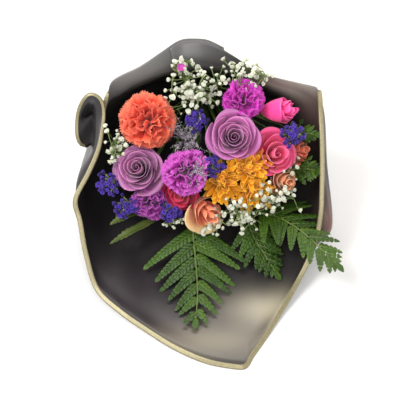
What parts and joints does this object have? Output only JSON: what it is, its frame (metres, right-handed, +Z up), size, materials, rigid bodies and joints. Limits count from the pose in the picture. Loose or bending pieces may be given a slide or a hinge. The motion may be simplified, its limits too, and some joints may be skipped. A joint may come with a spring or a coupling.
{
  "type": "wrapped flower bouquet",
  "caption": "Mixed cut flowers in a square dark film wrap with a gold edge, lying on its side with the mouth open and the cut stems out behind.",
  "frame": {"origin": "centre of the bouquet's box, on the surface it lies on", "axes": "+Z up, the mouth of the wrap opens towards -Y, the cut stems point towards +Y, +X to the right as the mouth is looked into"},
  "size_m": [0.3172, 0.5606, 0.2153],
  "materials": {
    "babys_breath": "small papery florets",
    "carnation_magenta": "ruffled matt petals",
    "carnation_orange": "ruffled matt petals",
    "carnation_purple": "ruffled matt petals",
    "carnation_upper": "ruffled matt petals",
    "caspia": "fine dry florets",
    "fern": "waxy leaf",
    "leaf": "waxy leaf",
    "mum": "matt petals",
    "ribbon": "satin ribbon",
    "rose_coral": "soft matt petals",
    "rose_crimson": "soft matt petals",
    "rose_hot_pink": "soft matt petals",
    "rose_lavender_left": "soft matt petals",
    "rose_lavender_right": "soft matt petals",
    "rose_peach": "soft matt petals",
    "rose_pink_open": "soft matt petals",
    "rose_salmon": "soft matt petals",
    "statice": "papery florets",
    "stem": "fresh green stem",
    "twine": "twisted twine",
    "wrap_film": "satin black film with a gold edge"
  },
  "bodies": {
    "root": {"babys_breath_front": "babys_breath", "babys_breath_left": "babys_breath", "babys_breath_right": "babys_breath", "babys_breath_top": "babys_breath", "babys_breath_upper": "babys_breath", "carnation_magenta": "carnation_magenta", "carnation_magenta_stem": "stem", "carnation_orange": "carnation_orange", "carnation_orange_stem": "stem", "carnation_purple": "carnation_purple", "carnation_purple_stem": "stem", "carnation_upper": "carnation_upper", "carnation_upper_stem": "stem", "caspia_middle": "caspia", "caspia_top": "caspia", "fern_front": "fern", "fern_right": "fern", "fern_right_inner": "fern", "fern_side_lower": "fern", "fern_side_upper": "fern", "leaf_left": "leaf", "leaf_left_lower": "leaf", "mum_left": "mum", "mum_left_stem": "stem", "mum_lower": "mum", "mum_lower_stem": "stem", "mum_upper": "mum", "mum_upper_stem": "stem", "ribbon_band": "ribbon", "rose_coral": "rose_coral", "rose_coral_stem": "stem", "rose_crimson": "rose_crimson", "rose_crimson_stem": "stem", "rose_hot_pink": "rose_hot_pink", "rose_hot_pink_stem": "stem", "rose_lavender_left": "rose_lavender_left", "rose_lavender_left_stem": "stem", "rose_lavender_right": "rose_lavender_right", "rose_lavender_right_stem": "stem", "rose_peach": "rose_peach", "rose_peach_stem": "stem", "rose_pink_open": "rose_pink_open", "rose_pink_open_stem": "stem", "rose_salmon": "rose_salmon", "rose_salmon_stem": "stem", "statice_left": "statice", "statice_lower": "statice", "statice_lower_left": "statice", "statice_middle": "statice", "statice_right": "statice", "statice_top": "statice", "stem_band": "twine", "wrap_sheet": "wrap_film"}
  },
  "joints": []
}
